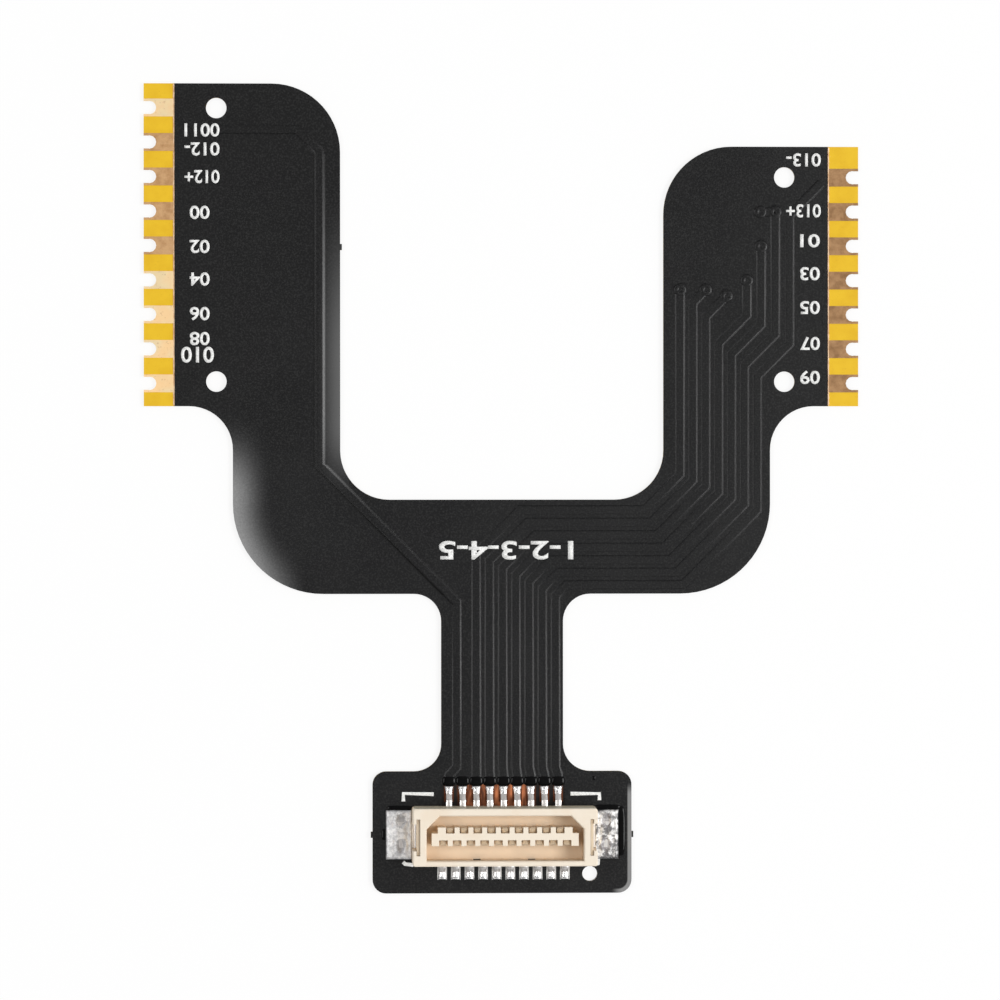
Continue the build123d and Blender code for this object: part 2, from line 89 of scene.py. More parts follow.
class Bench:
    """A node tree, with the methods that add nodes to it."""

    def __init__(self, tree):
        self.tree = tree

    def node(self, kind, values=None, out=0, **settings):
        made = self.tree.nodes.new(kind)
        for key, value in settings.items():
            setattr(made, key, value)
        for key, value in (values or {}).items():
            if isinstance(value, Wire):
                self.tree.links.new(value.socket, made.inputs[key])
            else:
                made.inputs[key].default_value = value
        return Wire(self, made.outputs[out])

    def maths(self, operation, *values):
        return self.node("ShaderNodeMath", dict(enumerate(values)), operation=operation)


def tint(red, green, blue):
    """Linear colour of a colour as the eye names it, 0 to 255."""
    return tuple(((c / 255 + 0.055) / 1.055) ** 2.4 for c in (red, green, blue)) + (1.0,)


class Finish(Bench):
    """A surface finish: constants go straight on the shader, the rest comes through wires."""

    def __init__(self, name, **constants):
        self.material = bpy.data.materials.new(name)
        self.material.use_nodes = True
        super().__init__(self.material.node_tree)
        self.shader = self.tree.nodes["Principled BSDF"]
        for key, value in constants.items():
            self.shader.inputs[key.replace("_", " ")].default_value = value
        self.place = self.node("ShaderNodeTexCoord", out="Object")

    def feed(self, **wires):
        for key, wire in wires.items():
            self.tree.links.new(wire.socket, self.shader.inputs[key.replace("_", " ")])

    def noise(self, scale, detail=3.0, rough=0.5, where=None):
        values = {"Vector": where or self.place, "Scale": scale, "Detail": detail}
        values["Roughness"] = rough
        return self.node("ShaderNodeTexNoise", values)

    def axis(self, letter):
        return self.node("ShaderNodeSeparateXYZ", {0: self.place}, out=letter)

    def past(self, letter, edge):
        """1 beyond an edge along an axis, given in millimetres, and 0 before it."""
        return self.axis(letter) > edge * mm

    def rise(self, letter, low, high):
        """Smooth step from 0 at low to 1 at high along an axis, in millimetres."""
        return self.axis(letter).smooth(low * mm, high * mm)

    def off(self, letter, middle):
        """Distance in metres along an axis from a middle given in millimetres."""
        return abs(self.axis(letter) - middle * mm)

    def near(self, letter, middle, inner, outer):
        """1 within inner of middle along an axis, and 0 beyond outer, in millimetres."""
        return 1 - self.off(letter, middle).smooth(inner * mm, outer * mm)

    def stretch(self, x, y, z):
        return self.node("ShaderNodeMapping", {"Vector": self.place, "Scale": (x, y, z)})

    def mix(self, share, first, second):
        values = {0: share, 6: first, 7: second}
        return self.node("ShaderNodeMix", values, out=2, data_type="RGBA")

    def bump(self, height, distance):
        values = {"Height": height, "Distance": distance, "Strength": 1.0}
        return self.node("ShaderNodeBump", values)


def dress(finish, *names):
    """Gives CAD nodes this finish."""
    for name in names:
        for holder in circuit[name].material_slots:
            holder.material = finish.material


amber_film = Finish("amber_film", Specular_IOR_Level=0.2, Roughness=0.35)
cloud = amber_film.noise(900.0, 4.0)
speck = amber_film.noise(9000.0, 2.0)
amber = amber_film.mix(cloud.smooth(0.3, 0.8), tint(230, 187, 38), tint(222, 176, 31))
amber = amber_film.mix(speck.smooth(0.62, 0.72) * 0.25, amber, tint(196, 148, 34))
connector_x = 0.1
front_window_y = -22.6
rear_window_y = -28.4
# Across the front window the film is drawn brown and streaked between the feet, and near black
# over the middle feet.
window_darkening = amber_film.near("X", connector_x, 5.2, 6.0)
window_darkening = window_darkening * amber_film.near("Y", front_window_y, 1.2, 1.4)
drag = amber_film.noise(2400.0, 4.0, where=amber_film.stretch(1.0, 0.18, 1.0))
window_brown = amber_film.mix(drag.smooth(0.36, 0.62), tint(74, 36, 18), tint(196, 118, 76))
window_brown = amber_film.mix(amber_film.near("X", -0.4, 2.4, 3.0), tint(26, 20, 17), window_brown)
amber = amber_film.mix(window_darkening, amber, window_brown)
behind = amber_film.near("X", connector_x, 5.8, 6.2)
behind = behind * amber_film.near("Y", rear_window_y, 0.9, 1.0)
amber = amber_film.mix(behind, amber, tint(22, 20, 19))
amber_film.feed(Base_Color=amber, Normal=amber_film.bump(cloud, 0.00001))
dress(amber_film, "base_film")


# Conductors. Rolled copper, etched into one track for each pad, with pads on both faces joined
# by plating in the slot. The right arm's pads are drawn darker. Five left pads are drawn paler,
# as a painted reflection.
left_pad_count = 9
right_pad_count = 7
lowest_pad_y = 7.72
pad_pitch = 2.52

bare_copper = Finish("bare_copper", Metallic=1.0)
mottle = bare_copper.noise(1700.0, 5.0, 0.6)
drawn = bare_copper.noise(2600.0, 3.0, where=bare_copper.stretch(0.25, 2.0, 1.0))
copper = bare_copper.mix(mottle.smooth(0.3, 0.75), tint(204, 164, 120), tint(168, 128, 88))
copper = bare_copper.mix(drawn.smooth(0.5, 0.75) * 0.3, copper, tint(214, 178, 138))
# The right arm's pads, beyond x 15 mm, are drawn in a darker copper.
right_arm_tone = bare_copper.mix(mottle.smooth(0.3, 0.75), tint(158, 124, 90), tint(122, 92, 64))
copper = bare_copper.mix(bare_copper.past("X", 15), copper, right_arm_tone)
flux_stain, wetted = tint(98, 58, 40), tint(206, 204, 202)
rear_land_y = -27.4
fluxed = bare_copper.near("X", connector_x, 5.4, 5.8)
fluxed = fluxed * bare_copper.near("Y", front_window_y, 1.3, 1.4)
copper = bare_copper.mix(fluxed, copper, flux_stain)
copper = bare_copper.mix(bare_copper.past("Y", rear_land_y), wetted, copper)
plate_x, plate_y = 6.4, -23.0
outer = (bare_copper.off("X", connector_x) > plate_x * mm) * (1 - bare_copper.past("Y", plate_y))
copper = bare_copper.mix(outer, copper, tint(34, 30, 30))
bare_copper.feed(
    Base_Color=copper,
    Roughness=0.3 + mottle * 0.25,
    Normal=bare_copper.bump(drawn, 0.00001),
)
dress(
    bare_copper,
    *(f"conductor_left_{n + 1}" for n in range(left_pad_count)),
    *(f"conductor_right_{n + 1}" for n in range(right_pad_count)),
    "spare_lands",
    "hold_down_lands",
)
# Painted reflection: five of the left arm's pads are drawn a pale, bright copper, as if catching
# the light.
wiped_copper = Finish("wiped_copper", Metallic=1.0)
glare_cloud = wiped_copper.noise(620.0, 3.0)
fleck = wiped_copper.noise(5200.0, 3.0)
bright = wiped_copper.mix(glare_cloud.smooth(0.36, 0.66), tint(255, 230, 184), tint(250, 212, 160))
bright = wiped_copper.mix(fleck.smooth(0.6, 0.72) * 0.4, bright, tint(196, 150, 108))
bright = wiped_copper.mix(wiped_copper.past("Y", -21.2), flux_stain, bright)
bright = wiped_copper.mix(wiped_copper.past("Y", rear_land_y), wetted, bright)
wiped_copper.feed(
    Base_Color=bright,
    Roughness=0.24 + glare_cloud * 0.2,
    Normal=wiped_copper.bump(glare_cloud, 0.00001),
)
dress(wiped_copper, *(f"conductor_left_{n}" for n in (1, 6, 7, 8, 9)))


# Cover films. A black polyimide film is bonded over each face of the circuit, with windows over
# the lands. It is pressed on hot, so it drapes over every track below it and keeps a fine grain.
black_film = Finish("black_cover_film", Specular_IOR_Level=0.25)
grain = black_film.noise(14000.0, 3.0)
pile = black_film.noise(8000.0, 3.0)
blush = black_film.noise(160.0, 3.0)
black = black_film.mix(blush.smooth(0.3, 0.75), tint(6, 6, 8), tint(14, 14, 15))
black = black_film.mix(black_film.rise("Y", -6, 12) * 0.7, black, tint(1, 1, 2))
black = black_film.mix(pile.smooth(0.42, 0.72), black, tint(34, 34, 34))
film_x, film_y = black_film.axis("X"), black_film.axis("Y")
upper_face = black_film.past("Z", 0.35)


def distance(across, along):
    return black_film.maths("SQRT", across * across + along * along)


# Painted sheen: the upper face is drawn paler along the left leg's outer edge, fading inwards and
# towards the top.
leg_bend_x, leg_bend_y, leg_bend_radius = -13.1, -1.1, 6.6
below_bend = black_film.maths("MINIMUM", film_y - leg_bend_y * mm, 0.0)
from_leg_edge = leg_bend_radius * mm - distance(film_x - leg_bend_x * mm, below_bend)
leg_sheen = (1 - from_leg_edge.smooth(-0.3 * mm, 3.6 * mm)) * (1 - black_film.rise("Y", -0.8, 6.4))
leg_sheen = leg_sheen * leg_sheen * (1 - black_film.rise("X", -19.2, -14.2)) * (0.72 + pile * 0.6)
black = black_film.mix(leg_sheen * upper_face, black, tint(138, 138, 138))
# Painted sheen: a paler band is drawn on the upper face along the left arm, right of its long
# track.
arm_sheen = black_film.rise("X", -13.6, -11.6) * (1 - black_film.past("X", -11.2))
arm_sheen = arm_sheen * black_film.rise("Y", -0.5, 5) * (1 - black_film.rise("Y", 9, 22))
black = black_film.mix(arm_sheen * upper_face, black, tint(94, 94, 94))
# Painted sheen: a pale rim is drawn along the head's right edge and round its lower right corner.
corner_x, corner_y = 8.5, -28.65
past_corner = black_film.maths("MAXIMUM", film_x - corner_x * mm, 0.0)
below_corner = black_film.maths("MAXIMUM", corner_y * mm - film_y, 0.0)
rim = distance(past_corner, below_corner).smooth(0.66 * mm, 0.76 * mm)
rim = rim * black_film.rise("X", 8, 8.8) * (1 - black_film.past("X", 9.51))
rim = rim * (1 - black_film.rise("Y", -22.5, -21.5))
black = black_film.mix(rim * upper_face, black, tint(132, 132, 132))

arm_track_x, elbow_y, shoulder_offset = -13.38, 1.75, 0.34
off_arm = film_x - arm_track_x * mm
off_slant = (film_x + film_y - (arm_track_x + elbow_y) * mm) * math.sqrt(0.5)
off_track = black_film.mix(black_film.past("Y", elbow_y), off_slant, off_arm)
on_track = black_film.past("Y", -7.8) * (1 - black_film.past("Y", 24.5)) * upper_face
on_track = on_track * (1 - black_film.past("X", -3.4))
# Painted highlight and painted shade: on the long track's ridge the right shoulder is drawn pale
# and the left shoulder near black.
ridge_highlight = (1 - abs(off_track - shoulder_offset * mm).smooth(0.04 * mm, 0.14 * mm)) * on_track
ridge_highlight = ridge_highlight * black_film.rise("Y", -2, 6) * (1 - black_film.rise("Y", 10, 26) * 0.9)
black = black_film.mix(ridge_highlight * 0.62, black, tint(132, 132, 132))
shade = (1 - abs(off_track + shoulder_offset * mm).smooth(0.06 * mm, 0.14 * mm)) * on_track
black = black_film.mix(shade, black, tint(1, 1, 1))
black_film.feed(
    Base_Color=black,
    Roughness=0.27 + blush * 0.08,
    Normal=black_film.bump(grain, 0.000006),
)
dress(black_film, "top_coverlay", "bottom_coverlay")


# Track relief. Where the upper cover film lies on a track it rises in a soft-edged ridge, and
# the outer tracks run down the right arm, across the band and down the stem to the connector.
via_places = [
    (13.08, 14.6), (14.98, 14.6), (16.5, 14.15), (18.0, 15.28), (19.05, 17.8), (20.1, 20.32),
    (19.0, 20.32),
]
film_face = 0.47
stem_end_y = -20.4
fan_y = -21.0
window_edge_y = -21.68


def cut_corners(points, cuts):
    """The line through points, with each inner corner cut off by its own length."""
    line = [Vector(points[0])]
    for before, corner, after, cut in zip(points, points[1:], points[2:], cuts):
        corner = Vector(corner)
        if cut:
            line.append(corner + (Vector(before) - corner).normalized() * cut)
            line.append(corner + (Vector(after) - corner).normalized() * cut)
        else:
            line.append(corner)
    line.append(Vector(points[-1]))
    return line


def right_track(i):
    """Upper track i of the right arm, counted from the gap, down to its contact's window."""
    arm_x = 13.08 + 0.948 * i
    band_y = -1.55 - 0.916 * i
    stem_x = -1.9 + 0.97 * i
    if i < 3:
        via_x, via_y = via_places[i]
        start = [(via_x, via_y), (arm_x, via_y - via_x + arm_x)] if i else [(via_x, via_y)]
    else:
        up_x = 18.0 + 1.05 * (i - 3)
        turn_y = 10.65 - 0.8 * (i - 3)
        start = [(up_x, lowest_pad_y + pad_pitch * i), (up_x, turn_y + up_x - arm_x)]
        start.append((arm_x, turn_y))
        if i == right_pad_count - 1:
            pad_x, pad_y = 23.5, 22.44
            start[:1] = [(pad_x, pad_y), (up_x, pad_y - pad_x + up_x)]
    pin_x = -1.9 + i
    points = [*start, (arm_x, band_y), (stem_x, band_y), (stem_x, stem_end_y), (pin_x, fan_y)]
    points.append((pin_x, window_edge_y))
    return cut_corners(points, [0] * (len(start) - 1) + [2.6 + 0.477 * i, 3.2 - 0.4 * i, 0, 0])


elbow = 5
long_track = cut_corners(
    [(-23.1, 27.555), (-22.2, 26.3), (arm_track_x, 26.3), (arm_track_x, elbow_y),
     (-3.33, -8.3), (-3.33, stem_end_y), (-3.9, fan_y), (-3.9, window_edge_y)],
    [0, 1.6, 0, 0, 0, 0],
)
stem_track = [Vector((-3.9, -7.73)), *long_track[elbow:]]
spare_track = [Vector(via_places[6]), Vector(via_places[5])]


def drawn_line(name, lines, height):
    """Flat curve object through these lines, each point as wide as a mitre needs."""
    curve = bpy.data.curves.new(name, "CURVE")
    curve.dimensions = "3D"
    curve.twist_mode = "Z_UP"
    for line in lines:
        spline = curve.splines.new("POLY")
        spline.points.add(len(line) - 1)
        for k, (point, place) in enumerate(zip(spline.points, line)):
            point.co = (place.x * mm, place.y * mm, height * mm, 1)
            if 0 < k < len(line) - 1:
                turn = (place - line[k - 1]).angle(line[k + 1] - place)
                point.radius = 1 / math.cos(turn / 2)
    drawn = bpy.data.objects.new(name, curve)
    bpy.context.scene.collection.objects.link(drawn)
    return drawn


def new_tree(name, sizes):
    """Geometry tree with named inputs for these sizes and a finish."""
    tree = bpy.data.node_groups.new(name, "GeometryNodeTree")
    tree.interface.new_socket("Geometry", in_out="INPUT", socket_type="NodeSocketGeometry")
    for size in sizes:
        tree.interface.new_socket(size, in_out="INPUT", socket_type="NodeSocketFloat")
    tree.interface.new_socket("Finish", in_out="INPUT", socket_type="NodeSocketMaterial")
    tree.interface.new_socket("Geometry", in_out="OUTPUT", socket_type="NodeSocketGeometry")
    bench = Bench(tree)
    bench.given = tree.nodes.new("NodeGroupInput")
    return bench


def given(bench, name):
    return Wire(bench, bench.given.outputs[name])


def close_tree(bench, shape):
    """Ends a tree in plain geometry that carries its finish."""
    plain = bench.node("GeometryNodeRealizeInstances", {0: shape})
    plain = bench.node("GeometryNodeSetMaterial", {0: plain, "Material": given(bench, "Finish")})
    end = bench.tree.nodes.new("NodeGroupOutput")
    bench.tree.links.new(plain.socket, end.inputs[0])
    return bench.tree


def grow(source, tree, name, finish, sizes):
    """Runs a geometry tree on source, and leaves only the plain mesh that it makes."""
    modifier = source.modifiers.new(name, "NODES")
    modifier.node_group = tree
    for item in tree.interface.items_tree:
        if item.in_out == "INPUT" and item.name in sizes:
            modifier[item.identifier] = sizes[item.name]
        elif item.in_out == "INPUT" and item.name == "Finish":
            modifier[item.identifier] = finish.material
    bpy.context.view_layer.update()
    graph = bpy.context.evaluated_depsgraph_get()
    mesh = bpy.data.meshes.new_from_object(source.evaluated_get(graph))
    mesh.name = name
    source.modifiers.remove(modifier)
    bpy.data.objects.remove(source)
    return place_piece(name, mesh)


def place_piece(name, mesh, finish=None):
    piece = bpy.data.objects.new(name, mesh)
    bpy.context.scene.collection.objects.link(piece)
    if finish:
        mesh.materials.clear()
        mesh.materials.append(finish.material)
    return piece


def ridge_tree():
    """A closed bar along a line: soft shoulders above the film, and a sunken flat below it."""
    bench = new_tree("formed_ridge", ("Half width", "Shoulder", "Rise", "Sunk"))
    ring = bench.node("GeometryNodeCurvePrimitiveCircle", {"Resolution": 48, "Radius": 1.0})
    spot = bench.node("GeometryNodeInputPosition")
    across = bench.node("ShaderNodeSeparateXYZ", {0: spot}, out="X")
    upward = bench.node("ShaderNodeSeparateXYZ", {0: spot}, out="Y")
    half = given(bench, "Half width")
    shoulder = ((1 - abs(across)) * half / given(bench, "Shoulder")).smooth(0.0, 1.0)
    above = upward > 0.001
    height = above * shoulder * given(bench, "Rise") * 1.1 - (1 - above) * given(bench, "Sunk")
    height = height - given(bench, "Rise") * 0.1
    section = bench.node("ShaderNodeCombineXYZ", {0: across * half, 1: 0 - height})
    profile = bench.node("GeometryNodeSetPosition", {0: ring, "Position": section})
    line = bench.node("GeometryNodeSetCurveNormal", {0: given(bench, "Geometry")}, mode="Z_UP")
    bar = bench.node(
        "GeometryNodeCurveToMesh", {"Curve": line, "Profile Curve": profile, "Fill Caps": True}
    )
    return close_tree(bench, bench.node("GeometryNodeSetShadeSmooth", {0: bar}))


formed_ridge = ridge_tree()
track_relief = grow(
    drawn_line(
        "track_relief",
        [right_track(i) for i in range(right_pad_count)] + [stem_track, spare_track],
        film_face,
    ),
    formed_ridge, "track_relief", black_film,
    {"Half width": 0.4 * mm, "Shoulder": 0.14 * mm, "Rise": 0.036 * mm, "Sunk": 0.01 * mm},
)
long_relief = grow(
    drawn_line("long_relief", [long_track[: elbow + 1]], film_face),
    formed_ridge, "long_relief", black_film,
    {"Half width": 0.43 * mm, "Shoulder": 0.19 * mm, "Rise": 0.048 * mm, "Sunk": 0.01 * mm},
)
for piece in (track_relief, long_relief):
    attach(piece, "root")


# Pad ends. The inner ends of the edge pads run under the cover film and lift it in low flat
# steps, and the first pad joins its track in a broad teardrop.
def left_pad_y(n):
    return lowest_pad_y + pad_pitch * (left_pad_count - n)


def right_pad_y(n):
    return lowest_pad_y + pad_pitch * (right_pad_count - n)


pad_relief = grow(
    drawn_line(
        "pad_relief",
        [[Vector((-23.93, left_pad_y(n))), Vector((-22.58, left_pad_y(n)))]
         for n in range(1, left_pad_count + 1)]
        + [[Vector((23.56, right_pad_y(n))), Vector((23.93, right_pad_y(n)))]
           for n in range(1, right_pad_count + 1)],
        film_face,
    ),
    formed_ridge, "pad_relief", black_film,
    {"Half width": 0.72 * mm, "Shoulder": 0.1 * mm, "Rise": 0.034 * mm, "Sunk": 0.01 * mm},
)
teardrop_relief = grow(
    drawn_line("teardrop_relief", [[Vector((-23.25, 27.75)), Vector((-22.05, 26.42))]], film_face),
    formed_ridge, "teardrop_relief", black_film,
    {"Half width": 0.62 * mm, "Shoulder": 0.1 * mm, "Rise": 0.042 * mm, "Sunk": 0.01 * mm},
)
for piece in (pad_relief, teardrop_relief):
    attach(piece, "root")


# Window edge. A thin pale line shows along the bare ends of both arms, at the edge of the cover
# film's window.
pale_adhesive = Finish("pale_adhesive", Specular_IOR_Level=0.4, Roughness=0.3)
gather = pale_adhesive.noise(2600.0, 3.0)
pale_adhesive.feed(
    Base_Color=pale_adhesive.mix(gather.smooth(0.3, 0.7), tint(236, 204, 170), tint(206, 160, 118))
)
window_edge = grow(
    drawn_line(
        "window_edge",
        [[Vector((x, 6.1)), Vector((x, far_y))] for x, far_y in ((-24.0, 29.6), (24.0, 25.05))],
        0.44,
    ),
    formed_ridge, "window_edge", pale_adhesive,
    {"Half width": 0.06 * mm, "Shoulder": 0.05 * mm, "Rise": 0.026 * mm, "Sunk": 0.03 * mm},
)
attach(window_edge, "root")


# Underside relief. The left arm's tracks run below the base film, so the lower cover film rises
# over them, down the leg, across the band and down the stem to the head's stiffener.
under_face = 0.25
stiffener_y = -20.68


def left_under_track(n):
    i = n - 2
    arm_x = -12.95 - 0.85 * i
    band_y = -1.55 - 0.786 * i
    stem_x = 2.9 - 0.97 * i
    start = [(-22.95, left_pad_y(n)), (arm_x, left_pad_y(n))]
    if n == left_pad_count:
        start = [start[0], (-22.65, left_pad_y(n)), (-21.72, 6.65), (arm_x, 6.65)]
    points = start + [(arm_x, band_y), (stem_x, band_y), (stem_x, stiffener_y)]
    return cut_corners(points, [0] * (len(start) - 1) + [2.6 + 0.477 * i, 0])


under_end_x = 23.9
right_under_tracks = [
    *([via_places[right_pad_count - n], (under_end_x, right_pad_y(n))] for n in (2, 3, 4)),
    [via_places[2], (17.89, right_pad_y(5)), (under_end_x, right_pad_y(5))],
    [via_places[1], (14.98, right_pad_y(6)), (under_end_x, right_pad_y(6))],
    [via_places[0], (13.08, 9.05), (22.27, 9.05), (23.6, right_pad_y(7)),
     (under_end_x, right_pad_y(7))],
]
lower_relief = grow(
    drawn_line(
        "lower_relief",
        [left_under_track(n) for n in range(2, left_pad_count + 1)]
        + [[Vector(point) for point in line] for line in right_under_tracks],
        under_face,
    ),
    formed_ridge, "lower_relief", black_film,
    {"Half width": 0.32 * mm, "Shoulder": 0.12 * mm, "Rise": -0.034 * mm, "Sunk": -0.01 * mm},
)
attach(lower_relief, "root")


# Via rims. Where a net changes faces its plated hole has a small round pad, and the cover film
# shows it as a low ring with a dimple in it.
def ring_tree():
    bench = new_tree("via_bulb", ("Radius", "Bead", "Crown"))
    loop = bench.node(
        "GeometryNodeCurvePrimitiveCircle", {"Resolution": 32, "Radius": given(bench, "Radius")}
    )
    bead = bench.node(
        "GeometryNodeCurvePrimitiveCircle", {"Resolution": 14, "Radius": given(bench, "Bead")}
    )
    squash = bench.node(
        "ShaderNodeCombineXYZ", {0: 1.0, 1: given(bench, "Crown") / given(bench, "Bead"), 2: 1.0}
    )
    bead = bench.node("GeometryNodeTransform", {"Geometry": bead, "Scale": squash})
    ring = bench.node("GeometryNodeCurveToMesh", {"Curve": loop, "Profile Curve": bead})
    rings = bench.node(
        "GeometryNodeInstanceOnPoints", {"Points": given(bench, "Geometry"), "Instance": ring}
    )
    return close_tree(bench, bench.node("GeometryNodeSetShadeSmooth", {0: rings}))


def point_cloud(name, places, height):
    mesh = bpy.data.meshes.new(name)
    mesh.from_pydata([(x * mm, y * mm, height * mm) for x, y in places], [], [])
    return place_piece(name, mesh)


via_rims = grow(
    point_cloud("via_rims", via_places, film_face + 0.002), ring_tree(), "via_rims", black_film,
    {"Radius": 0.27 * mm, "Bead": 0.22 * mm, "Crown": 0.045 * mm},
)
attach(via_rims, "root")


# Stiffener. A plate of dark glass laminate backs the head, so that the solder joints don't
# flex, and a pale bonding sheet holds it on.
laminate = Finish("glass_laminate", Specular_IOR_Level=0.4, Roughness=0.5)
thread_rate = 15700.0
warp = laminate.maths("SINE", laminate.axis("X") * thread_rate)
weft = laminate.maths("SINE", laminate.axis("Y") * thread_rate)
weave = warp * weft
dapple = laminate.noise(2500.0, 4.0)
glass = laminate.mix(dapple.smooth(0.35, 0.7), tint(36, 40, 34), tint(52, 56, 48))
laminate.feed(Base_Color=glass, Normal=laminate.bump(weave, 0.000012))
dress(laminate, "connector_stiffener")

bonding_sheet = Finish("bonding_sheet", Specular_IOR_Level=0.4)
ooze = bonding_sheet.noise(3000.0, 4.0)
bonding_sheet.feed(
    Base_Color=bonding_sheet.mix(ooze.smooth(0.3, 0.7), tint(206, 198, 168), tint(184, 172, 138)),
    Roughness=0.4 + ooze * 0.3,
)
dress(bonding_sheet, "stiffener_adhesive")


# Connector housing. Moulded in cream nylon in one shot, open on top, with a tongue inside that
# the contacts stand against. Its edges have the small radius of the mould.
cream_nylon = Finish("cream_nylon", Specular_IOR_Level=0.35)
flow = cream_nylon.noise(700.0, 4.0)
sand = cream_nylon.noise(16000.0, 3.0)
# Painted shade: the lower parts, down in the cavity, are drawn a warmer cream than the rim.
depth = cream_nylon.rise("Z", 1.2, 3.8)
cream = cream_nylon.mix(depth, tint(246, 222, 192), tint(235, 223, 205))
cream = cream_nylon.mix(flow.smooth(0.42, 0.75) * 0.35, cream, tint(226, 204, 176))
front_face_y, rear_wall_y, slit_offset = -23.26, -27.23, 2.0
# Painted shade: the housing's upright front face is drawn a dull grey-green.
front_face_shade = cream_nylon.past("Y", front_face_y) * (1 - cream_nylon.past("Z", 3.9))
cream = cream_nylon.mix(front_face_shade * 0.7, cream, tint(160, 158, 138))
# Painted shade: the two slits at the foot of the rear wall are drawn dark brown.
slit_shade = abs(cream_nylon.off("X", connector_x) - slit_offset * mm) < 0.28 * mm
slit_shade = slit_shade * (cream_nylon.off("Y", rear_wall_y) < 0.16 * mm)
slit_shade = slit_shade * (1 - cream_nylon.past("Z", 2.65))
cream = cream_nylon.mix(slit_shade, cream, tint(58, 42, 28))
cream_nylon.feed(
    Base_Color=cream,
    Roughness=0.38 + flow * 0.2,
    Normal=cream_nylon.bump(sand, 0.000008),
)
shell = bmesh.new()
shell.from_mesh(circuit["connector_housing"].data)
bmesh.ops.remove_doubles(shell, verts=shell.verts, dist=0.0000005)
bmesh.ops.dissolve_limit(shell, angle_limit=0.02, verts=shell.verts, edges=shell.edges)
slit_top, raised_top, slit_back, deeper_back = 1.72, 2.6, -27.21, -27.36
hair = 0.01 * mm
for vertex in shell.verts:
    if abs(vertex.co.z - slit_top * mm) < hair and vertex.co.y < -27 * mm:
        vertex.co.z = raised_top * mm
    if abs(vertex.co.y - slit_back * mm) < hair:
        vertex.co.y = deeper_back * mm
housing_mesh = bpy.data.meshes.new("housing_body")
shell.to_mesh(housing_mesh)
shell.free()
housing_body = place_piece("housing_body", housing_mesh, cream_nylon)
mould_edge = housing_body.modifiers.new("mould_edge", "BEVEL")
mould_edge.width = 0.04 * mm
mould_edge.segments = 2
mould_edge.limit_method = "ANGLE"
mould_edge.angle_limit = math.radians(35)
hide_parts("connector_housing")
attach(housing_body, "root")


# Contacts. Stamped from phosphor bronze strip, tin plated, bent into a flat foot, a short rise
# and a spring that stands in the tongue's window. Nine in front and ten behind, half a pitch on.
tin_plate = Finish("tin_plate")
smear = tin_plate.noise(3200.0, 4.0, where=tin_plate.stretch(3.0, 0.5, 0.5))
tin = tin_plate.mix(smear.smooth(0.35, 0.7), tint(232, 229, 226), tint(206, 200, 196))
# Painted reflection: the anchor tabs standing in the housing's end slots are drawn a warm cream.
slot_reflection = (tin_plate.off("X", connector_x) > 5.6 * mm) * tin_plate.past("Z", 0.8)
tin = tin_plate.mix(slot_reflection, tin, tint(250, 220, 172))
# Painted reflection: the contact tips are drawn cream and less metallic.
tip = tin_plate.past("Z", 3.1)
tin = tin_plate.mix(tip, tin, tint(224, 206, 180))
tin_plate.feed(
    Base_Color=tin,
    Metallic=1 - tip * 0.7,
    Roughness=0.2 + smear * 0.25,
    Normal=tin_plate.bump(smear, 0.000006),
)


def spaced_row(bench):
    """Points along X, one for each like piece."""
    places = {"Count": given(bench, "Count")}
    places["Start Location"] = bench.node("ShaderNodeCombineXYZ", {0: given(bench, "First")})
    places["Offset"] = bench.node("ShaderNodeCombineXYZ", {0: given(bench, "Pitch")})
    return bench.node("GeometryNodeMeshLine", places)


def contact_tree():
    bench = new_tree(
        "formed_contacts", ("Count", "First", "Pitch", "Width", "Thickness", "Bend", "Edge")
    )
    path = bench.node(
        "GeometryNodeFilletCurve",
        {"Curve": given(bench, "Geometry"), "Radius": given(bench, "Bend"), "Count": 5},
        mode="POLY",
    )
    blank = bench.node(
        "GeometryNodeCurvePrimitiveQuadrilateral",
        {"Width": given(bench, "Width"), "Height": given(bench, "Thickness")},
    )
    blank = bench.node(
        "GeometryNodeFilletCurve",
        {"Curve": blank, "Radius": given(bench, "Edge"), "Count": 2}, mode="POLY",
    )
    strip = bench.node(
        "GeometryNodeCurveToMesh", {"Curve": path, "Profile Curve": blank, "Fill Caps": True}
    )
    copies = {"Points": spaced_row(bench), "Instance": strip}
    return close_tree(bench, bench.node("GeometryNodeInstanceOnPoints", copies))


def side_line(name, points):
    """Path object through points of Y, Z and share of the full width."""
    curve = bpy.data.curves.new(name, "CURVE")
    curve.dimensions = "3D"
    spline = curve.splines.new("POLY")
    spline.points.add(len(points) - 1)
    for point, (y, z, girth) in zip(spline.points, points):
        point.co = (0, y * mm, z * mm, 1)
        point.radius = girth
    line = bpy.data.objects.new(name, curve)
    bpy.context.scene.collection.objects.link(line)
    return line


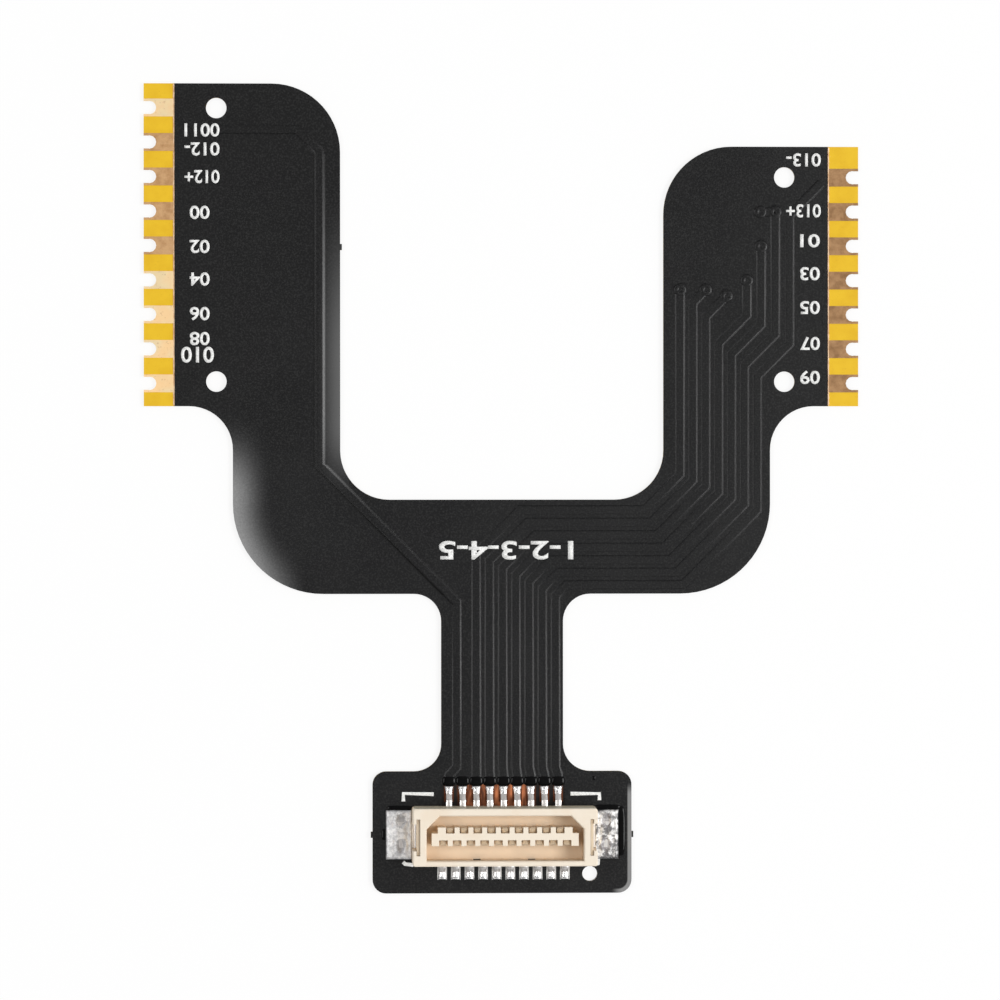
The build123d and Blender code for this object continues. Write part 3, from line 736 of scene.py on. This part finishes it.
front_count = 9
rear_count = 10
first_front_x = -3.9
first_rear_x = -4.4
formed_contacts = contact_tree()
strip_sizes = {
    "Pitch": 1.0 * mm, "Width": 0.44 * mm, "Thickness": 0.15 * mm, "Bend": 0.13 * mm,
    "Edge": 0.02 * mm,
}
front_row = grow(
    side_line(
        "front_contact_row",
        [(-21.86, 0.52, 1), (-22.39, 0.52, 1), (-22.79, 0.92, 1), (-24.975, 0.92, 1),
         (-24.975, 2.9, 1), (-24.975, 3.2, 1.3), (-24.68, 3.42, 0.62)],
    ),
    formed_contacts, "front_contact_row", tin_plate,
    {"Count": front_count, "First": first_front_x * mm, **strip_sizes},
)
rear_row = grow(
    side_line(
        "rear_contact_row",
        [(-28.56, 0.52, 1), (-28.04, 0.52, 1), (-27.74, 0.92, 1), (-25.625, 0.92, 1),
         (-25.625, 2.9, 1), (-25.625, 3.2, 1.3), (-25.9, 3.42, 0.8)],
    ),
    formed_contacts, "rear_contact_row", tin_plate,
    {"Count": rear_count, "First": first_rear_x * mm, **strip_sizes},
)
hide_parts(*(f"front_contact_{k + 1}" for k in range(front_count)))
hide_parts(*(f"rear_contact_{k + 1}" for k in range(rear_count)))
for row in (front_row, rear_row):
    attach(row, "root")


# Solder joints. Reflowed tin solder wets each foot from its toe and spreads over the land in a
# bright fillet that narrows towards the heel.
bright_solder = Finish("bright_solder", Metallic=1.0)
frost = bright_solder.noise(5200.0, 4.0)
frosted = bright_solder.mix(frost.smooth(0.35, 0.7), tint(240, 240, 240), tint(212, 212, 214))
bright_solder.feed(
    Base_Color=frosted,
    Roughness=0.16 + frost * 0.24,
    Normal=bright_solder.bump(frost, 0.000012),
)


def lofted(name, rings):
    """Closed mesh through rings of points, each a loop of the same count."""
    mesh = bpy.data.meshes.new(name)
    count = len(rings[0])
    faces = []
    for j in range(len(rings) - 1):
        for i in range(count):
            a, b = j * count + i, j * count + (i + 1) % count
            faces.append((a, b, b + count, a + count))
    faces.append(tuple(reversed(range(count))))
    faces.append(tuple(range((len(rings) - 1) * count, len(rings) * count)))
    mesh.from_pydata([point for ring in rings for point in ring], [], faces)
    form = bmesh.new()
    form.from_mesh(mesh)
    bmesh.ops.recalc_face_normals(form, faces=form.faces)
    form.to_mesh(mesh)
    form.free()
    mesh.shade_smooth()
    return mesh


def fillet_shape(name, outer_y, inner_y, wide, narrow, crest):
    """Solder over one foot at x 0, broad and low at its toe and narrow at its heel."""
    rings = []
    steps, land_z, sunk_z = 9, 0.45, 0.43
    for j in range(steps + 1):
        t = j / steps
        half = (wide + (narrow - wide) * t) / 2
        if j == 0:
            half *= 0.86
        peak = crest * min(1.0, 0.12 + 3.4 * t) * (1 - 0.25 * t * t)
        ring = []
        for i in range(13):
            across = -1 + i / 6
            lift = (1 - abs(across) ** 2.4) ** 0.7
            ring.append((across * half * mm, (outer_y + (inner_y - outer_y) * t) * mm,
                         (land_z + peak * lift) * mm))
        ring.append((half * mm, ring[-1][1], sunk_z * mm))
        ring.append((-half * mm, ring[-1][1], sunk_z * mm))
        rings.append(ring)
    return lofted(name, rings)


def row_tree():
    bench = new_tree("row_of_like_pieces", ("Count", "First", "Pitch"))
    copies = {"Points": spaced_row(bench), "Instance": given(bench, "Geometry")}
    return close_tree(bench, bench.node("GeometryNodeInstanceOnPoints", copies))


row_of_pieces = row_tree()
front_joints = grow(
    place_piece(
        "front_joints", fillet_shape("front_joints", -21.76, -22.5, 0.71, 0.47, 0.2)
    ),
    row_of_pieces, "front_joints", bright_solder,
    {"Count": front_count, "First": first_front_x * mm, "Pitch": 1.0 * mm},
)
rear_joints = grow(
    place_piece(
        "rear_joints", fillet_shape("rear_joints", -28.66, -28.0, 0.69, 0.5, 0.2)
    ),
    row_of_pieces, "rear_joints", bright_solder,
    {"Count": rear_count, "First": first_rear_x * mm, "Pitch": 1.0 * mm},
)
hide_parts("front_solder_joints")
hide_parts("rear_solder_joints")
for joints in (front_joints, rear_joints):
    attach(joints, "root")


# Anchor tabs. A tinned tab in each end of the housing is soldered flat to the head, and the
# solder over its two prongs sets in a mottled skin with a dimple at each prong.
dress(tin_plate, "hold_down_left", "hold_down_right")
mottled_tin = Finish("mottled_tin", Metallic=1.0)
grainy = mottled_tin.noise(3800.0, 5.0, 0.65)
patchy = mottled_tin.noise(1500.0, 4.0)
skin = mottled_tin.mix(grainy.smooth(0.36, 0.64), tint(200, 199, 200), tint(246, 245, 244))
skin = mottled_tin.mix(patchy.smooth(0.5, 0.8) * 0.5, skin, tint(176, 174, 176))
# Painted shade: the right tab's solder is drawn darker and more patchy than the left's.
right_mottle = (grainy + patchy).smooth(0.86, 1.14)
right_shaded_skin = mottled_tin.mix(right_mottle, tint(112, 111, 112), tint(232, 231, 230))
skin = mottled_tin.mix(mottled_tin.past("X", 0), skin, right_shaded_skin)
prong_x, prong_places_y = 7.52, (-24.32, -26.12)
dimple_x, dimple_y = 0.38, 0.5
# Painted shade: each prong's dimple is drawn darker.
dimple_shade = 0
for side in (-1, 1):
    for prong_y in prong_places_y:
        off_x = mottled_tin.axis("X") - (connector_x + side * prong_x) * mm
        off_y = mottled_tin.axis("Y") - prong_y * mm
        far = off_x * off_x / (dimple_x * mm) ** 2 + off_y * off_y / (dimple_y * mm) ** 2
        dimple_shade = dimple_shade + (1 - (far + grainy * 2.4 - 1.2).smooth(0.4, 1.5))
skin = mottled_tin.mix(dimple_shade * 0.6, skin, tint(140, 136, 138))
mottled_tin.feed(
    Base_Color=skin,
    Roughness=0.36 + grainy * 0.3,
    Normal=mottled_tin.bump(grainy, 0.00003),
)


def anchor_skin():
    """Soldered plate over each tab's prongs, as a field of heights with a crisp rim."""
    mesh = bpy.data.meshes.new("anchor_solder")
    points, faces = [], []
    columns, rows = 27, 49
    inner_x, low_y, high_y, land_z, rim_width = 6.74, -27.14, -23.54, 0.445, 0.12
    for side, reach in ((-1, 8.63), (1, 8.43)):
        base = len(points)
        for j in range(rows):
            for i in range(columns):
                x = inner_x + (reach - inner_x) * i / (columns - 1)
                y = low_y + (high_y - low_y) * j / (rows - 1)
                rim = max(0.0, min(reach - x, y - low_y, high_y - y, rim_width) / rim_width)
                height = 0.1 + 0.11 * rim ** 0.5
                height += 0.012 * math.sin(7.3 * x + 2.1 * y) * math.sin(3.1 * y - 4.7 * x) * rim
                for prong_y in prong_places_y:
                    far = ((x - prong_x) / dimple_x) ** 2 + ((y - prong_y) / dimple_y) ** 2
                    height += 0.02 * math.exp(-((far - 1.1) / 0.35) ** 2)
                    height -= 0.02 * math.exp(-far * 1.4)
                points.append(((connector_x + side * x) * mm, y * mm, (land_z + height) * mm))
        for j in range(rows - 1):
            for i in range(columns - 1):
                a = base + j * columns + i
                faces.append((a, a + 1, a + 1 + columns, a + columns))
        loop = [base + i for i in range(columns)]
        loop += [base + j * columns + columns - 1 for j in range(1, rows)]
        loop += [base + (rows - 1) * columns + i for i in range(columns - 2, -1, -1)]
        loop += [base + j * columns for j in range(rows - 2, 0, -1)]
        foot = len(points)
        points += [(points[k][0], points[k][1], land_z * mm) for k in loop]
        for k in range(len(loop)):
            after = (k + 1) % len(loop)
            faces.append((loop[k], loop[after], foot + after, foot + k))
        faces.append(tuple(foot + k for k in range(len(loop))))
    mesh.from_pydata(points, [], faces)
    form = bmesh.new()
    form.from_mesh(mesh)
    bmesh.ops.recalc_face_normals(form, faces=form.faces)
    form.to_mesh(mesh)
    form.free()
    mesh.shade_smooth()
    return mesh


anchor_solder = place_piece("anchor_solder", anchor_skin(), mottled_tin)
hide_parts("hold_down_solder")
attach(anchor_solder, "root")


# Black beads. Glossy black beads stand along the window above the front feet, and round the
# anchor tabs.
black_resin = Finish("black_resin", Specular_IOR_Level=0.12, Roughness=0.05)
swirl = black_resin.noise(1800.0, 3.0)
black_resin.feed(
    Base_Color=black_resin.mix(swirl.smooth(0.3, 0.7), tint(2, 2, 3), tint(8, 7, 8)),
    Normal=black_resin.bump(swirl, 0.00001),
)


def bead_shape(name, centre, reach, crest):
    """Low flat drop with a rounded plan, seated just into the cover film."""
    (x, y), (half_x, half_y) = centre, reach
    seat_z, sides = 0.462, 24
    rings = []
    for share, lift in ((1.0, -0.02), (1.0, 0.0), (0.93, 0.55), (0.78, 0.85), (0.4, 1.0)):
        ring = []
        for k in range(sides):
            turn = 2 * math.pi * k / sides
            cos, sin = math.cos(turn), math.sin(turn)
            wide = share * half_x * math.copysign(abs(cos) ** 0.6, cos)
            long = share * half_y * math.copysign(abs(sin) ** 0.6, sin)
            ring.append(((x + wide) * mm, (y + long) * mm, (seat_z + crest * lift) * mm))
        rings.append(ring)
    return lofted(name, rings)


black_beads = grow(
    place_piece("black_beads", bead_shape("black_beads", (0, -21.42), (0.5, 0.36), 0.08)),
    row_of_pieces, "black_beads", black_resin,
    {"Count": front_count, "First": first_front_x * mm, "Pitch": 1.0 * mm},
)
black_seams = [
    bead_shape("left_upper_seam", (-7.5, -23.4), (0.98, 0.2), 0.06),
    bead_shape("left_outer_seam", (-8.62, -25.33), (0.22, 0.42), 0.06),
    bead_shape("right_upper_seam", (7.72, -23.36), (0.98, 0.2), 0.06),
    bead_shape("right_outer_seam", (8.72, -25.1), (0.33, 1.87), 0.06),
    bead_shape("pin_mark", (6.73, -21.22), (0.13, 0.16), 0.03),
]
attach(black_beads, "root")
for mesh in black_seams:
    seam = place_piece(mesh.name, mesh, black_resin)
    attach(seam, "root")


# Printing. White ink marks are screened on the cover film: the corners of the connector's
# outline, and plain numbers beside the pads, which read from the other end of the board.
white_ink = Finish("white_ink", Specular_IOR_Level=0.3, Roughness=0.55)
mesh_grain = white_ink.noise(9000.0, 3.0)
ink = white_ink.mix(mesh_grain.smooth(0.3, 0.62), tint(214, 214, 212), tint(244, 244, 242))
white_ink.feed(Base_Color=ink)
corner_marks = grow(
    drawn_line(
        "corner_marks",
        [
            [Vector(place) for place in line]
            for line in (
                [(-7.24, -22.9), (-7.24, -22.32), (-5.02, -22.38)],
                [(5.02, -22.37), (7.14, -22.37), (7.14, -22.85)],
                [(-7.27, -27.35), (-7.1, -27.5), (-6.5, -27.56)],
                [(7.05, -27.1), (7.05, -27.5), (6.85, -27.55)],
            )
        ],
        film_face,
    ),
    formed_ridge, "corner_marks", white_ink,
    {"Half width": 0.145 * mm, "Shoulder": 0.03 * mm, "Rise": 0.014 * mm, "Sunk": 0.004 * mm},
)
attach(corner_marks, "root")


def printed(name, body, x, y, width, height):
    """Plain figures of this width and height, turned half round, with their middle at x and y."""
    figures = bpy.data.curves.new(name, "FONT")
    figures.body = body
    figures.size = 1.0
    figures.offset = 0.022
    figure_height, ink_top = 0.7, 0.065
    maker = bpy.data.objects.new(name, figures)
    bpy.context.scene.collection.objects.link(maker)
    bpy.context.view_layer.update()
    graph = bpy.context.evaluated_depsgraph_get()
    mesh = bpy.data.meshes.new_from_object(maker.evaluated_get(graph))
    bpy.data.objects.remove(maker)
    low, high = (f(v.co.x for v in mesh.vertices) for f in (min, max))
    for vertex in mesh.vertices:
        vertex.co = (
            (x - (vertex.co.x - (low + high) / 2) * width / (high - low)) * mm,
            (y - (vertex.co.y - figure_height / 2) * height / figure_height) * mm,
            (film_face + ink_top) * mm,
        )
    return mesh


left_numbers = (
    ("0011", 26.227), ("012-", 24.842), ("012+", 22.821), ("00", 20.205), ("02", 17.714),
    ("04", 15.333), ("06", 12.806), ("08", 10.982),
)
right_numbers = (
    ("013-", 24.125), ("013+", 20.388), ("01", 18.19), ("03", 15.773), ("05", 13.282),
    ("07", 10.645), ("09", 8.154),
)
inked = []
for numbers, long_x, short_x in (
    (left_numbers, -21.941, -22.117), (right_numbers, 22.161, 22.637)
):
    for body, y in numbers:
        x, width = (short_x, 1.45) if len(body) == 2 else (long_x, 2.56)
        inked.append(printed("pad_number", body, x, y, width, 0.92))
inked.append(printed("pad_number", "010", -22.28, 9.8, 2.4, 1.1))
inked.append(printed("band_number", "1-2-3-4-5", 0.3, -4.52, 9.85, 1.3))
figure_sheet = bmesh.new()
for mesh in inked:
    figure_sheet.from_mesh(mesh)
number_mesh = bpy.data.meshes.new("pad_numbers")
figure_sheet.to_mesh(number_mesh)
figure_sheet.free()
pad_numbers = place_piece("pad_numbers", number_mesh, white_ink)
ink_depth = pad_numbers.modifiers.new("ink_depth", "SOLIDIFY")
ink_depth.thickness = 0.012 * mm
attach(pad_numbers, "root")


# Camera, lights and floor. The circuit lies on a plain pale table in an evenly lit room, seen
# from straight above and a little to the left, with soft lamps low on the right and the left.
floor_mesh = bpy.data.meshes.new("table_top")
reach, floor_z = 2.0, -0.02 * mm
floor_mesh.from_pydata(
    [(x * reach, y * reach, floor_z) for x, y in ((-1, -1), (1, -1), (1, 1), (-1, 1))],
    [], [(0, 1, 2, 3)],
)
pale = Finish("pale_table", Roughness=0.9, Specular_IOR_Level=0.1)
pale.shader.inputs["Base Color"].default_value = (0.9, 0.9, 0.9, 1)
ray = pale.tree.nodes.new("ShaderNodeLightPath")
seen = Wire(pale, ray.outputs["Is Camera Ray"]) + Wire(pale, ray.outputs["Is Glossy Ray"])
seen = seen + Wire(pale, ray.outputs["Is Transmission Ray"])
white = pale.node("ShaderNodeEmission", {"Color": (1, 1, 1, 1), "Strength": 1.0})
white_share = 0.86
blend = pale.node(
    "ShaderNodeMixShader",
    {0: seen * white_share, 1: Wire(pale, pale.shader.outputs[0]), 2: white},
)
pale.tree.links.new(blend.socket, pale.tree.nodes["Material Output"].inputs[0])
table_top = place_piece("table_top", floor_mesh, pale)

world = bpy.data.worlds.new("pale_room")
bpy.context.scene.world = world
world.use_nodes = True
room = Bench(world.node_tree)
sky = world.node_tree.nodes["Background"]
path = world.node_tree.nodes.new("ShaderNodeLightPath")
shown = Wire(room, path.outputs["Is Camera Ray"])
outlook = room.node("ShaderNodeTexCoord", out="Generated")
rightward = room.node("ShaderNodeSeparateXYZ", {0: outlook}, out="X")
upward = room.node("ShaderNodeSeparateXYZ", {0: outlook}, out="Z")
all_round, from_right, from_level = 0.22, 0.46, 0.3
glow = all_round + rightward.smooth(-0.5, 0.5) * from_right
glow = glow + (1 - abs(upward).smooth(0.0, 0.6)) * from_level
world.node_tree.links.new((glow * (1 - shown) + shown).socket, sky.inputs["Strength"])
sky.inputs["Color"].default_value = (1, 1, 1, 1)


def soft_box(name, place, aim, width, power):
    lamp = bpy.data.lights.new(name, "AREA")
    lamp.shape = "DISK"
    lamp.size = width
    lamp.energy = power
    box = bpy.data.objects.new(name, lamp)
    box.location = place
    box.rotation_euler = (Vector(aim) - Vector(place)).to_track_quat("-Z", "Y").to_euler()
    bpy.context.scene.collection.objects.link(box)


soft_box("right_lamp", (0.36, -0.02, 0.6), (0, 0, 0), 0.28, 2.3)
soft_box("left_fill", (-0.34, 0.03, 0.62), (0, 0, 0), 0.34, 1.25)

camera_lens = bpy.data.cameras.new("overhead_camera")
camera_lens.sensor_width = 36
camera_lens.lens = 186.56
camera_lens.clip_start = 0.01
camera = bpy.data.objects.new("overhead_camera", camera_lens)
camera.location = (-0.0151, 0.00096, 0.38)
camera.rotation_euler = (-0.00468, -0.03938, -0.00044)
bpy.context.scene.collection.objects.link(camera)
bpy.context.scene.camera = camera
bpy.context.scene.view_settings.view_transform = "Standard"
